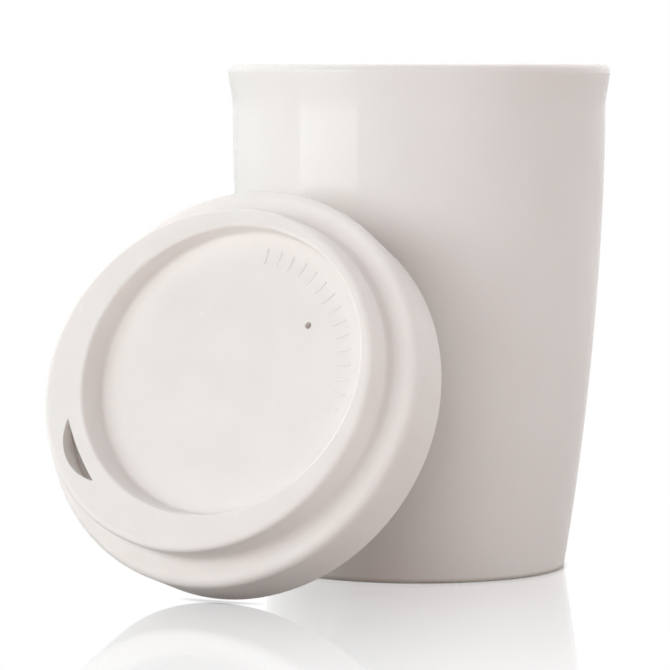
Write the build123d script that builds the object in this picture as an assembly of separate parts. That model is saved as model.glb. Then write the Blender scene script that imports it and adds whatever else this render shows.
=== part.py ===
from build123d import *
import os

# Insulated double-wall porcelain tumbler with a silicone travel lid that leans on it.
# Origin: centre of the foot on the floor. +Z up, +X to the right, the lid leans on the -Y side.

# ---- mug body ----
MUG_HEIGHT = 118.0
FOOT_FLAT_OUTER_R = 34.1
FOOT_FLAT_INNER_R = 30.2
FOOT_RECESS_R = 29.0
FOOT_RECESS_Z = 1.5
FOOT_ROUND = (34.4, 0.18)
BELLY_START = (34.53, 0.6)
BELLY_MID = (40.45, 46.0)
BELLY_END = (43.8, 107.0)
COLLAR_WAIST = (43.85, 109.2)
COLLAR_LIP = (44.85, 115.9)
LIP_ROUND = (44.35, 117.55)
LIP_LEAN = 0.12
RIM_OUTER = (43.2, MUG_HEIGHT)
RIM_INNER = (41.9, MUG_HEIGHT)
RIM_INNER_ROUND = (41.0, 117.55)
BORE_LIP = (40.6, 116.3)

# ---- double wall ----
WALL = 2.8
SEAM_Z = 106.0
BORE_SEAM_R = 38.0
BORE_MID = (34.6, 64.0)
BORE_LOW = (29.4, 22.0)
CUP_FLOOR_Z = 10.0
CUP_FLOOR_R = 22.0
CUP_CORNER = (27.5, 14.1)
CUP_SEAM_OUTER_R = 40.0
CUP_WALL = 2.6
CAVITY_FLOOR_Z = 4.4
CAVITY_CORNER_R = 4.0
CAVITY_CORNER_SAG = 1.2
CAVITY_LOW_INSET = 1.0
CUP_CORNER_OUT = 0.75
CUP_CORNER_DOWN = 0.65

# ---- vent plug in the base ----
VENT_HOLE_R = 3.0
PLUG_CLEARANCE = 0.1
PLUG_HEAD_R = 4.5
PLUG_HEAD_T = 1.0
PLUG_EDGE = 0.4
PLUG_STEM_TOP_Z = 5.2

# ---- lid, in its own frame: axis +Z, sip slot on +X, skirt mouth at z = 0 ----
SKIRT_MOUTH_R = 44.9
SKIRT_SHOULDER_R = 45.8
SKIRT_WALL = 1.5
MOUTH_ROUND = 0.4
LEDGE_Z = 15.3
LEDGE_INNER_Z = 13.3
SHOULDER_FILLET = 2.1
DOME_BASE_R = 39.6
DOME_BASE_SHIFT = 0.2
DOME_TOP_R = 39.5
DOME_TOP_SHIFT = 1.55
DOME_TOP_Z = 23.6
DOME_SLOPE = 2.2
DOME_EDGE_FILLET = 1.3
DOME_BASE_FILLET = 1.4
WELL_TOP_R = 33.2
WELL_TOP_SHIFT = -2.35
WELL_FLOOR_R = 32.4
WELL_FLOOR_SHIFT = -3.2
WELL_FLOOR_Z = 19.0
WELL_EDGE_FILLET = 0.7
WELL_FLOOR_FILLET = 0.7
WEB = 2.0
CHANNEL_R = 37.5
CHANNEL_SHIFT = 1.8
CHANNEL_TOP_Z = 21.8
CHANNEL_SKEW = 0.3
WELL_BACK_R = 35.4
WELL_BACK_SHIFT = -3.0
SLOT_CHORD_X = 33.95
SLOT_CHORD_BOW = 0.6
SLOT_HALF_LENGTH = 8.35
SLOT_CROWN_X = 37.8
AIR_HOLE_R = 0.75
AIR_HOLE_X = -23.45

# ---- where the lid leans ----
LID_ORIGIN = (-36.83, -48.12, 42.12)
LID_AXIS_RISE = 21.4
LID_HEADING = -27.5
LID_SPIN = 214.0

# ---- cutting tools: how far they reach past the faces they cut ----
CUT_ABOVE = 12.0
CUT_PAST = 1.0
EDGE_MATCH = 0.6
HEIGHT_MATCH = 0.1


def at(point):
    """A point of the half profile, radius and height, in the XZ plane."""
    return (point[0], 0, point[1])


def spin_profile(edges):
    """Turns a closed half profile about the Z axis."""
    outline = Wire(edges)
    return revolve(Face(outline), Axis.Z)


def inward(point, distance):
    """The same point moved towards the axis."""
    return (point[0] - distance, point[1])


def disc_loft(r_low, x_low, z_low, r_top, x_top, z_top):
    """A skewed cone between two level circles."""
    low = Plane.XY.offset(z_low) * Pos(x_low, 0) * Circle(r_low)
    top = Plane.XY.offset(z_top) * Pos(x_top, 0) * Circle(r_top)
    return loft([low, top])


def round_edge(shape, radius, z_low, z_high):
    """The nearly circular edge of this radius whose highest point lies between two heights."""
    boxes = [(edge, edge.bounding_box()) for edge in shape.edges()]
    level = [(edge, box) for edge, box in boxes if z_low < box.max.Z < z_high]
    return [edge for edge, box in level if abs(box.size.X / 2 - radius) < EDGE_MATCH]


def make_outer_wall():
    """Outer porcelain shell with foot, belly, collar and rim."""
    belly_in_top = (BELLY_END[0] - WALL, SEAM_Z)
    belly_in_mid = inward(BELLY_MID, WALL)
    belly_in_low = (BELLY_START[0] - WALL + CAVITY_LOW_INSET, CAVITY_FLOOR_Z + CAVITY_CORNER_R)
    cavity_corner = (belly_in_low[0] - CAVITY_CORNER_SAG, CAVITY_FLOOR_Z + CAVITY_CORNER_SAG)
    cavity_floor = (belly_in_low[0] - CAVITY_CORNER_R, CAVITY_FLOOR_Z)
    outline = [
        Line(at((VENT_HOLE_R, FOOT_RECESS_Z)), at((FOOT_RECESS_R, FOOT_RECESS_Z))),
        Line(at((FOOT_RECESS_R, FOOT_RECESS_Z)), at((FOOT_FLAT_INNER_R, 0))),
        Line(at((FOOT_FLAT_INNER_R, 0)), at((FOOT_FLAT_OUTER_R, 0))),
        ThreePointArc(at((FOOT_FLAT_OUTER_R, 0)), at(FOOT_ROUND), at(BELLY_START)),
        ThreePointArc(at(BELLY_START), at(BELLY_MID), at(BELLY_END)),
        Spline([at(BELLY_END), at(COLLAR_WAIST), at(COLLAR_LIP)], tangents=[(0, 0, 1), (LIP_LEAN, 0, 1)]),
        ThreePointArc(at(COLLAR_LIP), at(LIP_ROUND), at(RIM_OUTER)),
        Line(at(RIM_OUTER), at(RIM_INNER)),
        ThreePointArc(at(RIM_INNER), at(RIM_INNER_ROUND), at(BORE_LIP)),
        Line(at(BORE_LIP), at((BORE_SEAM_R, SEAM_Z))),
        Line(at((BORE_SEAM_R, SEAM_Z)), at(belly_in_top)),
        ThreePointArc(at(belly_in_top), at(belly_in_mid), at(belly_in_low)),
        ThreePointArc(at(belly_in_low), at(cavity_corner), at(cavity_floor)),
        Line(at(cavity_floor), at((VENT_HOLE_R, CAVITY_FLOOR_Z))),
        Line(at((VENT_HOLE_R, CAVITY_FLOOR_Z)), at((VENT_HOLE_R, FOOT_RECESS_Z))),
    ]
    return spin_profile(outline)


def make_inner_wall():
    """Inner porcelain cup, joined to the outer shell only under the rim."""
    back_mid = (BORE_MID[0] + CUP_WALL, BORE_MID[1])
    back_low = (BORE_LOW[0] + CUP_WALL, BORE_LOW[1])
    back_corner = (CUP_CORNER[0] + CUP_WALL * CUP_CORNER_OUT, CUP_CORNER[1] - CUP_WALL * CUP_CORNER_DOWN)
    back_floor = (CUP_FLOOR_R, CUP_FLOOR_Z - CUP_WALL)
    outline = [
        Line(at((0, back_floor[1])), at(back_floor)),
        ThreePointArc(at(back_floor), at(back_corner), at(back_low)),
        ThreePointArc(at(back_low), at(back_mid), at((CUP_SEAM_OUTER_R, SEAM_Z))),
        Line(at((CUP_SEAM_OUTER_R, SEAM_Z)), at((BORE_SEAM_R, SEAM_Z))),
        ThreePointArc(at((BORE_SEAM_R, SEAM_Z)), at(BORE_MID), at(BORE_LOW)),
        ThreePointArc(at(BORE_LOW), at(CUP_CORNER), at((CUP_FLOOR_R, CUP_FLOOR_Z))),
        Line(at((CUP_FLOOR_R, CUP_FLOOR_Z)), at((0, CUP_FLOOR_Z))),
        Line(at((0, CUP_FLOOR_Z)), at((0, back_floor[1]))),
    ]
    return spin_profile(outline)


def make_vent_plug():
    """Soft plug that seals the air gap through the base."""
    head = Pos(0, 0, FOOT_RECESS_Z - PLUG_HEAD_T) * extrude(Circle(PLUG_HEAD_R), PLUG_HEAD_T)
    stem_length = PLUG_STEM_TOP_Z - FOOT_RECESS_Z
    stem = Pos(0, 0, FOOT_RECESS_Z) * extrude(Circle(VENT_HOLE_R - PLUG_CLEARANCE), stem_length)
    plug = head + stem
    plug = fillet(plug.edges().group_by(Axis.Z)[0], PLUG_EDGE)
    return chamfer(plug.edges().group_by(Axis.Z)[-1], PLUG_EDGE)


def make_lid():
    """One-piece silicone lid: skirt, ledge, off-centre dome ring, well, slot and air hole."""
    skirt_outline = [
        Line(at((0, 0)), at((SKIRT_MOUTH_R, 0))),
        Line(at((SKIRT_MOUTH_R, 0)), at((SKIRT_SHOULDER_R, LEDGE_Z))),
        Line(at((SKIRT_SHOULDER_R, LEDGE_Z)), at((0, LEDGE_Z))),
        Line(at((0, LEDGE_Z)), at((0, 0))),
    ]
    skirt = spin_profile(skirt_outline)
    skirt = fillet(skirt.edges().group_by(Axis.Z)[-1], SHOULDER_FILLET)
    dome_height = DOME_TOP_Z + CUT_ABOVE
    dome_gain = (dome_height - LEDGE_INNER_Z) / (DOME_TOP_Z - LEDGE_INNER_Z)
    dome_r = DOME_BASE_R + (DOME_TOP_R - DOME_BASE_R) * dome_gain
    dome_shift = DOME_BASE_SHIFT + (DOME_TOP_SHIFT - DOME_BASE_SHIFT) * dome_gain
    dome = disc_loft(DOME_BASE_R, DOME_BASE_SHIFT, LEDGE_INNER_Z, dome_r, dome_shift, dome_height)
    sloped_top = Pos(0, 0, DOME_TOP_Z) * Rot(0, -DOME_SLOPE, 0)
    dome -= sloped_top * Pos(0, 0, CUT_ABOVE * 2) * Box(4 * DOME_BASE_R, 4 * DOME_BASE_R, CUT_ABOVE * 4)
    dome = fillet(dome.edges().sort_by(Axis.Z)[-1], DOME_EDGE_FILLET)
    lid = skirt + dome
    dome_foot = round_edge(lid, DOME_BASE_R, LEDGE_Z - HEIGHT_MATCH, LEDGE_Z + HEIGHT_MATCH)
    lid = fillet(dome_foot, DOME_BASE_FILLET)
    well_gain = (dome_height - WELL_FLOOR_Z) / (DOME_TOP_Z - WELL_FLOOR_Z)
    well_r = WELL_FLOOR_R + (WELL_TOP_R - WELL_FLOOR_R) * well_gain
    well_shift = WELL_FLOOR_SHIFT + (WELL_TOP_SHIFT - WELL_FLOOR_SHIFT) * well_gain
    well = disc_loft(WELL_FLOOR_R, WELL_FLOOR_SHIFT, WELL_FLOOR_Z, well_r, well_shift, dome_height)
    well = fillet(well.edges().group_by(Axis.Z)[0], WELL_FLOOR_FILLET)
    lid -= well
    well_rim = round_edge(lid, WELL_TOP_R, DOME_TOP_Z, DOME_TOP_Z + CUT_ABOVE)
    lid = fillet(well_rim, WELL_EDGE_FILLET)
    # hollow underside
    mouth_outline = [
        Line(at((0, -CUT_PAST)), at((SKIRT_MOUTH_R - SKIRT_WALL, -CUT_PAST))),
        Line(at((SKIRT_MOUTH_R - SKIRT_WALL, -CUT_PAST)), at((SKIRT_SHOULDER_R - SKIRT_WALL, LEDGE_INNER_Z))),
        Line(at((SKIRT_SHOULDER_R - SKIRT_WALL, LEDGE_INNER_Z)), at((0, LEDGE_INNER_Z))),
        Line(at((0, LEDGE_INNER_Z)), at((0, -CUT_PAST))),
    ]
    mouth = spin_profile(mouth_outline)
    mouth = fillet(mouth.edges().group_by(Axis.Z)[-1], SHOULDER_FILLET - SKIRT_WALL)
    lid -= mouth
    lid = fillet(lid.edges().group_by(Axis.Z)[0], MOUTH_ROUND)
    web_z = WELL_FLOOR_Z - WEB
    under_dome_r = DOME_BASE_R - WEB
    lid -= disc_loft(under_dome_r, DOME_BASE_SHIFT, LEDGE_INNER_Z - CUT_PAST, under_dome_r, 0, web_z)
    channel_low = (CHANNEL_R, CHANNEL_SHIFT - CHANNEL_SKEW, web_z - CUT_PAST)
    channel = disc_loft(*channel_low, CHANNEL_R, CHANNEL_SHIFT, CHANNEL_TOP_Z)
    well_back_low = (WELL_BACK_R, WELL_BACK_SHIFT, web_z - 2 * CUT_PAST)
    channel -= disc_loft(*well_back_low, WELL_BACK_R, WELL_BACK_SHIFT, dome_height)
    lid -= channel
    # D-shaped sip slot through the wide side of the dome ring
    slot_ends = [(SLOT_CHORD_X, -SLOT_HALF_LENGTH), (SLOT_CHORD_X, SLOT_HALF_LENGTH)]
    chord = ThreePointArc(slot_ends[0], (SLOT_CHORD_X + SLOT_CHORD_BOW, 0), slot_ends[1])
    crown = ThreePointArc(slot_ends[1], (SLOT_CROWN_X, 0), slot_ends[0])
    slot = extrude(Face(Wire([chord, crown])), CUT_ABOVE, dir=(0, 0, 1))
    lid -= Pos(0, 0, web_z + CUT_PAST) * slot
    # air hole in the well floor, straight across from the slot
    lid -= Pos(AIR_HOLE_X, 0, web_z - CUT_PAST) * extrude(Circle(AIR_HOLE_R), WEB + 2 * CUT_PAST)
    return lid


def lean(shape):
    """Puts the lid on the floor, leaning back on the mug."""
    turn = Rot(0, 0, LID_HEADING) * Rot(90 - LID_AXIS_RISE, 0, 0) * Rot(0, 0, LID_SPIN)
    return Pos(*LID_ORIGIN) * turn * shape


os.makedirs("parts", exist_ok=True)
pieces = {
    "outer_wall": make_outer_wall(),
    "inner_wall": make_inner_wall(),
    "vent_plug": make_vent_plug(),
    "lid": lean(make_lid()),
}
for name, shape in pieces.items():
    export_step(shape, f"parts/{name}.step")
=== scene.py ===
import math

import bmesh
import bpy
from mathutils import Euler, Matrix, Vector


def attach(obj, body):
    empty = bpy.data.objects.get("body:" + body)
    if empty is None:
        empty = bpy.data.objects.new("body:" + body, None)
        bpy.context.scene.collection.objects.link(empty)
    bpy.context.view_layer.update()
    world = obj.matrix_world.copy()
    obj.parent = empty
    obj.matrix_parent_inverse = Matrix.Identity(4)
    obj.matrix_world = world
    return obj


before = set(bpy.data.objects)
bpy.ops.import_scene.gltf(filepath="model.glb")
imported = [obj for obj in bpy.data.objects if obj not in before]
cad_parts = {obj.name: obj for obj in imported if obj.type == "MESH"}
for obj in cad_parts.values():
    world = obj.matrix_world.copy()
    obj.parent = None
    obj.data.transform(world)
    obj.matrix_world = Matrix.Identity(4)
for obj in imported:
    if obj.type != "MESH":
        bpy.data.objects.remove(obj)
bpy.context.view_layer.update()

# ---- camera: a long lens, level with the rim, tipped down to the foot ----
CAMERA_PLACE = (-0.0197, -0.891, 0.118)
CAMERA_DIP = 4.09
LENS_MM = 203.5
SENSOR_MM = 36.0

# ---- where the lid leans, the same values as in part.py, in metres and degrees ----
LID_ORIGIN = (-0.03683, -0.04812, 0.04212)
LID_AXIS_RISE = 21.4
LID_HEADING = -27.5
LID_SPIN = 214.0
WELL_FLOOR_Z = 0.0190
WELL_FLOOR_SHIFT = -0.0032

# ---- raised bars in the well, opposite the sip slot ----
BAR_COUNT = 15
BAR_SPREAD = 98.0
BAR_RING_R = 0.0271
BAR_LENGTH = 0.0036
BAR_WIDTH = 0.0006
BAR_RISE = 0.00012
BAR_SINK = 0.0002
BAR_BEVEL = 0.00007
BAR_END_SEGMENTS = 8
# inset as a share of the bevel, then drop below the top, in metres
BAR_PROFILE = ((0, BAR_BEVEL), (0.35, 0.3 * BAR_BEVEL), (1.0, 0.0))

# ---- colours, linear ----
PORCELAIN = (0.865, 0.840, 0.825)
PORCELAIN_POOLED = (0.835, 0.808, 0.790)
BARE_CLAY = (0.70, 0.66, 0.62)
SILICONE = (0.880, 0.850, 0.832)
SILICONE_DUSTY = (0.862, 0.830, 0.811)
PLUG_SILICONE = (0.80, 0.775, 0.76)
DUST = (1.0, 0.99, 0.98)

# ---- glaze: scales are features a metre, bumps are height in metres and strength ----
FOOT_BARE_Z = 0.0007
FOOT_GLAZE_Z = 0.0011
POOL_SCALE = 22.0
POOL_RANGE = (0.40, 0.66)
GLAZE_PATCH_SCALE = 60.0
GLAZE_PATCH_RANGE = (0.35, 0.65)
GLAZE_ROUGH = (0.02, 0.045)
GLAZE_SPECULAR = 0.20
GLAZE_DEPTH = 0.12
GLAZE_SCATTER = (1.0, 0.85, 0.75)
WAVE_SCALE = 70.0
WAVE_BUMP = (0.0006, 0.06)
PIT_SCALE = 200.0
PIT_SIZE = 0.05
PIT_BUMP = (0.00005, 0.4)
CLAY_GRAIN_SCALE = 3200.0
CLAY_BUMP = (0.0001, 0.6)
CLAY_ROUGH = 0.75

# ---- silicone ----
CLOUD_SCALE = 90.0
CLOUD_RANGE = (0.38, 0.66)
SWELL_SCALE = 55.0
SWELL_BUMP = (0.0008, 0.08)
SKIN_GRAIN_SCALE = 2600.0
SKIN_GRAIN_BUMP = (0.00006, 0.16)
DUST_SCALE = 200.0
DUST_SIZE = 0.06
DUST_BUMP = (0.0003, 0.4)
SILICONE_PATCH_SCALE = 400.0
SILICONE_PATCH_RANGE = (0.3, 0.7)
SILICONE_ROUGH = (0.46, 0.60)
SILICONE_SPECULAR = 0.10
SILICONE_SCATTER = (1.0, 0.86, 0.8)
SILICONE_SHEEN = 0.06
SHEEN_ROUGH = 0.4
LID_DEPTH = 0.4
PLUG_DEPTH = 0.2
BARS_DEPTH = 0.0
SCATTER_REACH = 0.0015

# ---- stage ----
FLOOR_HALF = 6.0
MIRROR_NEAR = 0.05
MIRROR_FAR = 0.20
MIRROR_STRONG = 0.55
MIRROR_WEAK = 0.08
# painted contact shadow: the floor's white is darkened by ambient occlusion within this reach of the
# object
CONTACT_REACH = 0.0022
CONTACT_OPEN = 0.8
CONTACT_SHADE = 0.15
MIRROR_ROUGH = 0.03
FLOOR_DULL = (0.45, 0.427, 0.413, 1)
FLOOR_GLOSS_ROUGH = 0.05
FLOOR_IOR = 1.5
WHITE = (1, 1, 1, 1)
LIGHT_DISTANCE = 1.5
LIGHT_AIM = (-0.02, -0.02, 0.06)

# name: degrees to the camera's left, degrees up, width, height, brightness, colour, seen in the glaze
LIGHTS = {
    "panel_left": (58.5, 10, 1.12, 0.9, 3.8, (0.92, 1.0, 0.99), True),
    "panel_left_high": (55, 42, 0.9, 0.9, 0.76, (1.0, 0.8, 0.85), False),
    "fill_front": (-10, 10, 0.9, 0.9, 1.24, (1.0, 0.65, 0.60), False),
    "fill_front_high": (0, 45, 0.9, 0.9, 1.25, (0.76, 1.0, 0.96), False),
    "fill_front_left": (20, 10, 0.9, 0.9, 1.05, (1.0, 0.90, 0.95), False),
    "fill_right": (-75, 10, 0.9, 0.9, 3.15, (1.0, 0.98, 0.97), False),
    "back_right": (-150, 38, 0.9, 0.9, 4.3, (1.0, 0.92, 0.85), False),
    "back_left": (130, 38, 0.9, 0.9, 4.5, (0.97, 1.0, 0.96), False),
    "top_back": (-150, 66, 0.9, 0.9, 2.7, (1.0, 0.93, 1.0), False),
}


def make_camera():
    """The camera at the height of the rim, looking along +Y and a little down."""
    data = bpy.data.cameras.new("camera")
    data.lens = LENS_MM
    data.sensor_width = SENSOR_MM
    data.clip_start = 0.01
    data.clip_end = 50.0
    camera = bpy.data.objects.new("camera", data)
    camera.location = CAMERA_PLACE
    camera.rotation_euler = Euler((math.radians(90 - CAMERA_DIP), 0, 0))
    bpy.context.scene.collection.objects.link(camera)
    bpy.context.scene.camera = camera


# ---- material helpers ----
def new_material(name):
    """A material with its node tree and its principled shader."""
    material = bpy.data.materials.new(name)
    material.use_nodes = True
    tree = material.node_tree
    return material, tree, tree.nodes["Principled BSDF"]


def add_node(tree, kind, settings=None, **values):
    """Adds a node, sets its properties and the sockets named in values."""
    node = tree.nodes.new(kind)
    for key, value in (settings or {}).items():
        setattr(node, key, value)
    for key, value in values.items():
        node.inputs[key.replace("_", " ")].default_value = value
    return node


def object_place(tree):
    """The socket that gives a point in the node's own space."""
    return add_node(tree, "ShaderNodeTexCoord").outputs["Object"]


def noise(tree, place, scale, detail=2.0):
    """Noise of so many features a metre."""
    node = add_node(tree, "ShaderNodeTexNoise", Scale=scale, Detail=detail)
    tree.links.new(place, node.inputs["Vector"])
    return node.outputs["Fac"]


def spread(tree, value, from_low, from_high, to_low, to_high):
    """Stretches one range of values onto another, clamped."""
    node = add_node(
        tree,
        "ShaderNodeMapRange",
        From_Min=from_low,
        From_Max=from_high,
        To_Min=to_low,
        To_Max=to_high,
    )
    tree.links.new(value, node.inputs["Value"])
    return node.outputs["Result"]


def blend_colour(tree, factor, low, high):
    """A colour between two; each is a colour or a socket."""
    node = add_node(tree, "ShaderNodeMix", {"data_type": "RGBA"})
    tree.links.new(factor, node.inputs[0])
    for socket, colour in ((node.inputs[6], low), (node.inputs[7], high)):
        if isinstance(colour, tuple):
            socket.default_value = (*colour, 1)
        else:
            tree.links.new(colour, socket)
    return node.outputs[2]


def maths(tree, operation, first, second):
    """One operation on two sockets or numbers."""
    node = add_node(tree, "ShaderNodeMath", {"operation": operation})
    for socket, value in zip(node.inputs, (first, second)):
        if isinstance(value, (int, float)):
            socket.default_value = value
        else:
            tree.links.new(value, socket)
    return node.outputs["Value"]


def bump(tree, height, distance, strength, under=None):
    """A bump of the given height in metres, on top of another."""
    node = add_node(tree, "ShaderNodeBump", Strength=strength, Distance=distance)
    tree.links.new(height, node.inputs["Height"])
    if under is not None:
        tree.links.new(under, node.inputs["Normal"])
    return node.outputs["Normal"]


def specks(tree, place, cells, size):
    """Sparse round specks, where a cell's centre meets the surface: cells a metre, radius in cells."""
    node = add_node(tree, "ShaderNodeTexVoronoi", Scale=cells)
    tree.links.new(place, node.inputs["Vector"])
    return spread(tree, node.outputs["Distance"], size / 2, size, 1.0, 0.0)


def make_glaze(name):
    """Glossy white porcelain: pooled glaze, faint waves, pinholes and a bare clay foot ring."""
    material, tree, shader = new_material(name)
    place = object_place(tree)
    pooled = spread(tree, noise(tree, place, POOL_SCALE), *POOL_RANGE, 0.0, 1.0)
    colour = blend_colour(tree, pooled, PORCELAIN, PORCELAIN_POOLED)
    split = add_node(tree, "ShaderNodeSeparateXYZ")
    tree.links.new(place, split.inputs["Vector"])
    bare = spread(tree, split.outputs["Z"], FOOT_BARE_Z, FOOT_GLAZE_Z, 1.0, 0.0)
    grain = noise(tree, place, CLAY_GRAIN_SCALE, 3.0)
    colour = blend_colour(tree, bare, colour, BARE_CLAY)
    tree.links.new(colour, shader.inputs["Base Color"])
    glaze_rough = spread(tree, noise(tree, place, GLAZE_PATCH_SCALE), *GLAZE_PATCH_RANGE, *GLAZE_ROUGH)
    rough = maths(tree, "MAXIMUM", glaze_rough, maths(tree, "MULTIPLY", bare, CLAY_ROUGH))
    tree.links.new(rough, shader.inputs["Roughness"])
    shader.inputs["Specular IOR Level"].default_value = GLAZE_SPECULAR
    shader.inputs["Subsurface Weight"].default_value = GLAZE_DEPTH
    shader.inputs["Subsurface Radius"].default_value = GLAZE_SCATTER
    shader.inputs["Subsurface Scale"].default_value = SCATTER_REACH
    waves = bump(tree, noise(tree, place, WAVE_SCALE), *WAVE_BUMP)
    pits = specks(tree, place, PIT_SCALE, PIT_SIZE)
    pitted = bump(tree, maths(tree, "SUBTRACT", 1.0, pits), *PIT_BUMP, waves)
    clay = bump(tree, maths(tree, "MULTIPLY", grain, bare), *CLAY_BUMP, pitted)
    tree.links.new(clay, shader.inputs["Normal"])
    return material


def make_silicone(name, base, dusty, specked, depth):
    """Matte white silicone: cloudy tone, fine moulded grain, soft light below the skin, dust."""
    material, tree, shader = new_material(name)
    place = object_place(tree)
    cloud = spread(tree, noise(tree, place, CLOUD_SCALE, 4.0), *CLOUD_RANGE, 0.0, 1.0)
    colour = blend_colour(tree, cloud, base, dusty)
    normal = bump(tree, noise(tree, place, SWELL_SCALE), *SWELL_BUMP)
    normal = bump(tree, noise(tree, place, SKIN_GRAIN_SCALE, 3.0), *SKIN_GRAIN_BUMP, normal)
    if specked:
        dust = specks(tree, place, DUST_SCALE, DUST_SIZE)
        colour = blend_colour(tree, dust, colour, DUST)
        normal = bump(tree, dust, *DUST_BUMP, normal)
    tree.links.new(colour, shader.inputs["Base Color"])
    tree.links.new(normal, shader.inputs["Normal"])
    patches = noise(tree, place, SILICONE_PATCH_SCALE, 3.0)
    rough = spread(tree, patches, *SILICONE_PATCH_RANGE, *SILICONE_ROUGH)
    tree.links.new(rough, shader.inputs["Roughness"])
    shader.inputs["Specular IOR Level"].default_value = SILICONE_SPECULAR
    shader.inputs["Subsurface Weight"].default_value = depth
    shader.inputs["Subsurface Radius"].default_value = SILICONE_SCATTER
    shader.inputs["Subsurface Scale"].default_value = SCATTER_REACH
    shader.inputs["Sheen Weight"].default_value = SILICONE_SHEEN
    shader.inputs["Sheen Roughness"].default_value = SHEEN_ROUGH
    return material


def dress(node, material):
    """Gives a CAD node one material in all its slots."""
    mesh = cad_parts[node].data
    mesh.materials.clear()
    mesh.materials.append(material)


# ---- raised bars in the well ----
def lid_matrix():
    """From the lid's own frame to where it leans."""
    heading = Matrix.Rotation(math.radians(LID_HEADING), 4, "Z")
    tilt = Matrix.Rotation(math.radians(90 - LID_AXIS_RISE), 4, "X")
    spin = Matrix.Rotation(math.radians(LID_SPIN), 4, "Z")
    return Matrix.Translation(LID_ORIGIN) @ heading @ tilt @ spin


def bar_outline():
    """A flat bar with two round ends, long side along X."""
    half = BAR_LENGTH / 2 - BAR_WIDTH / 2
    points = []
    for side in (1, -1):
        for step in range(BAR_END_SEGMENTS + 1):
            turn = math.pi * (step / BAR_END_SEGMENTS - 0.5)
            x = side * (half + math.cos(turn) * BAR_WIDTH / 2)
            points.append((x, side * math.sin(turn) * BAR_WIDTH / 2))
    return points


def make_well_bars():
    """A fan of plain raised bars moulded into the floor of the well."""
    mesh = bpy.data.meshes.new("well_bars")
    shape = bmesh.new()
    low = WELL_FLOOR_Z - BAR_SINK
    high = WELL_FLOOR_Z + BAR_RISE
    for index in range(BAR_COUNT):
        turn = math.radians(180 + BAR_SPREAD * (index / (BAR_COUNT - 1) - 0.5))
        spin = Matrix.Rotation(turn, 3, "Z")
        centre = Vector((math.cos(turn) * BAR_RING_R + WELL_FLOOR_SHIFT, math.sin(turn) * BAR_RING_R, 0))
        rings = []
        levels = [(0, low)] + [(BAR_BEVEL * share, high - drop) for share, drop in BAR_PROFILE]
        for inset, height in levels:
            scale = 1 - inset / (BAR_WIDTH / 2)
            ring = []
            for x, y in bar_outline():
                flat = Vector((x - math.copysign(inset, x), y * scale, 0))
                ring.append(shape.verts.new(centre + spin @ flat + Vector((0, 0, height))))
            rings.append(ring)
        count = len(rings[0])
        for below, above in zip(rings, rings[1:]):
            for side in range(count):
                after = (side + 1) % count
                shape.faces.new((below[side], below[after], above[after], above[side]))
        shape.faces.new(rings[-1])
        shape.faces.new(list(reversed(rings[0])))
    bmesh.ops.transform(shape, matrix=lid_matrix(), verts=shape.verts)
    bmesh.ops.recalc_face_normals(shape, faces=shape.faces)
    for face in shape.faces:
        face.smooth = True
    shape.to_mesh(mesh)
    shape.free()
    bars = bpy.data.objects.new("well_bars", mesh)
    bpy.context.scene.collection.objects.link(bars)
    return bars


# ---- stage ----
def make_floor_material():
    """White to the eye, with a painted contact shadow where the object nearly touches it and a mirror that
    fades away from the object; a dim floor to the object.
    """
    material, tree, shader = new_material("floor")
    tree.nodes.remove(shader)
    output = tree.nodes["Material Output"]
    place = add_node(tree, "ShaderNodeNewGeometry").outputs["Position"]
    flat = add_node(tree, "ShaderNodeVectorMath", {"operation": "LENGTH"})
    tree.links.new(place, flat.inputs[0])
    mirror_share = spread(tree, flat.outputs["Value"], MIRROR_NEAR, MIRROR_FAR, MIRROR_STRONG, MIRROR_WEAK)
    # painted contact shadow: ambient occlusion dims the white floor seen by the camera near the object
    painted_shadow_occlusion = add_node(tree, "ShaderNodeAmbientOcclusion", Distance=CONTACT_REACH)
    shade = spread(tree, painted_shadow_occlusion.outputs["AO"], 0.0, CONTACT_OPEN, CONTACT_SHADE, 1.0)
    white = add_node(tree, "ShaderNodeEmission", Color=WHITE)
    tree.links.new(shade, white.inputs["Strength"])
    mirror = add_node(tree, "ShaderNodeBsdfGlossy", Color=WHITE, Roughness=MIRROR_ROUGH)
    seen = add_node(tree, "ShaderNodeMixShader")
    tree.links.new(mirror_share, seen.inputs["Fac"])
    tree.links.new(white.outputs[0], seen.inputs[1])
    tree.links.new(mirror.outputs[0], seen.inputs[2])
    dull = add_node(tree, "ShaderNodeBsdfDiffuse", Color=FLOOR_DULL)
    sheen = add_node(tree, "ShaderNodeBsdfGlossy", Color=WHITE, Roughness=FLOOR_GLOSS_ROUGH)
    fresnel = add_node(tree, "ShaderNodeFresnel", IOR=FLOOR_IOR)
    hidden = add_node(tree, "ShaderNodeMixShader")
    tree.links.new(fresnel.outputs[0], hidden.inputs["Fac"])
    tree.links.new(dull.outputs[0], hidden.inputs[1])
    tree.links.new(sheen.outputs[0], hidden.inputs[2])
    paths = add_node(tree, "ShaderNodeLightPath")
    both = add_node(tree, "ShaderNodeMixShader")
    tree.links.new(paths.outputs["Is Camera Ray"], both.inputs["Fac"])
    tree.links.new(hidden.outputs[0], both.inputs[1])
    tree.links.new(seen.outputs[0], both.inputs[2])
    tree.links.new(both.outputs[0], output.inputs["Surface"])
    return material


def make_floor():
    """A wide pale floor at z = 0."""
    mesh = bpy.data.meshes.new("floor")
    corners = [(-1, -1), (1, -1), (1, 1), (-1, 1)]
    mesh.from_pydata([(x * FLOOR_HALF, y * FLOOR_HALF, 0) for x, y in corners], [], [(0, 1, 2, 3)])
    mesh.materials.append(make_floor_material())
    floor = bpy.data.objects.new("floor", mesh)
    bpy.context.scene.collection.objects.link(floor)


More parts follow.
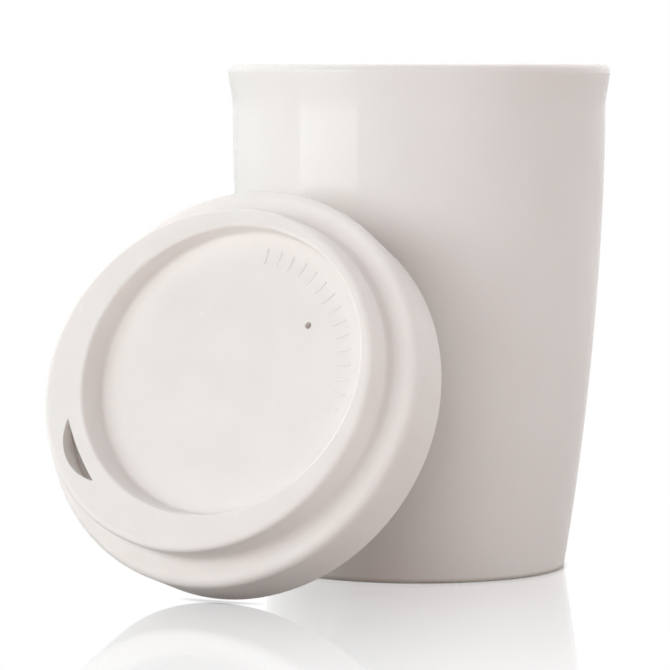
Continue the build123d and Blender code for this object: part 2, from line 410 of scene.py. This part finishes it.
def make_world():
    """White behind the object and in its reflections, dark for all other light."""
    world = bpy.data.worlds.new("studio")
    world.use_nodes = True
    tree = world.node_tree
    white = tree.nodes["Background"]
    white.inputs["Color"].default_value = WHITE
    dark = add_node(tree, "ShaderNodeBackground", Strength=0.0)
    paths = add_node(tree, "ShaderNodeLightPath")
    seen = maths(tree, "MAXIMUM", paths.outputs["Is Camera Ray"], paths.outputs["Is Glossy Ray"])
    both = add_node(tree, "ShaderNodeMixShader")
    tree.links.new(seen, both.inputs["Fac"])
    tree.links.new(dark.outputs[0], both.inputs[1])
    tree.links.new(white.outputs[0], both.inputs[2])
    tree.links.new(both.outputs[0], tree.nodes["World Output"].inputs["Surface"])
    bpy.context.scene.world = world


def make_light(name, left, up, width, height, brightness, colour, mirrored):
    """A soft panel on a dome around the object, turned to face it."""
    turn = math.radians(left)
    rise = math.radians(up)
    outward = Vector((-math.sin(turn) * math.cos(rise), -math.cos(turn) * math.cos(rise), math.sin(rise)))
    data = bpy.data.lights.new(name, "AREA")
    data.shape = "RECTANGLE"
    data.size = width
    data.size_y = height
    data.energy = brightness * math.pi * width * height
    data.color = colour
    light = bpy.data.objects.new(name, data)
    light.location = Vector(LIGHT_AIM) + outward * LIGHT_DISTANCE
    light.rotation_euler = (-outward).to_track_quat("-Z", "Y").to_euler()
    light.visible_camera = False
    light.visible_glossy = mirrored
    bpy.context.scene.collection.objects.link(light)


make_camera()

dress("outer_wall", make_glaze("glaze_outside"))
dress("inner_wall", make_glaze("glaze_inside"))
lid_silicone = make_silicone("silicone_lid", SILICONE, SILICONE_DUSTY, True, LID_DEPTH)
dress("lid", lid_silicone)
dress("vent_plug", make_silicone("silicone_plug", PLUG_SILICONE, SILICONE_DUSTY, False, PLUG_DEPTH))

well_bars = make_well_bars()
bar_silicone = make_silicone("silicone_bars", SILICONE, SILICONE_DUSTY, False, BARS_DEPTH)
well_bars.data.materials.append(bar_silicone)
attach(well_bars, "lid")

make_floor()
make_world()
for light_name, settings in LIGHTS.items():
    make_light(light_name, *settings)
bpy.context.scene.view_settings.view_transform = "Standard"
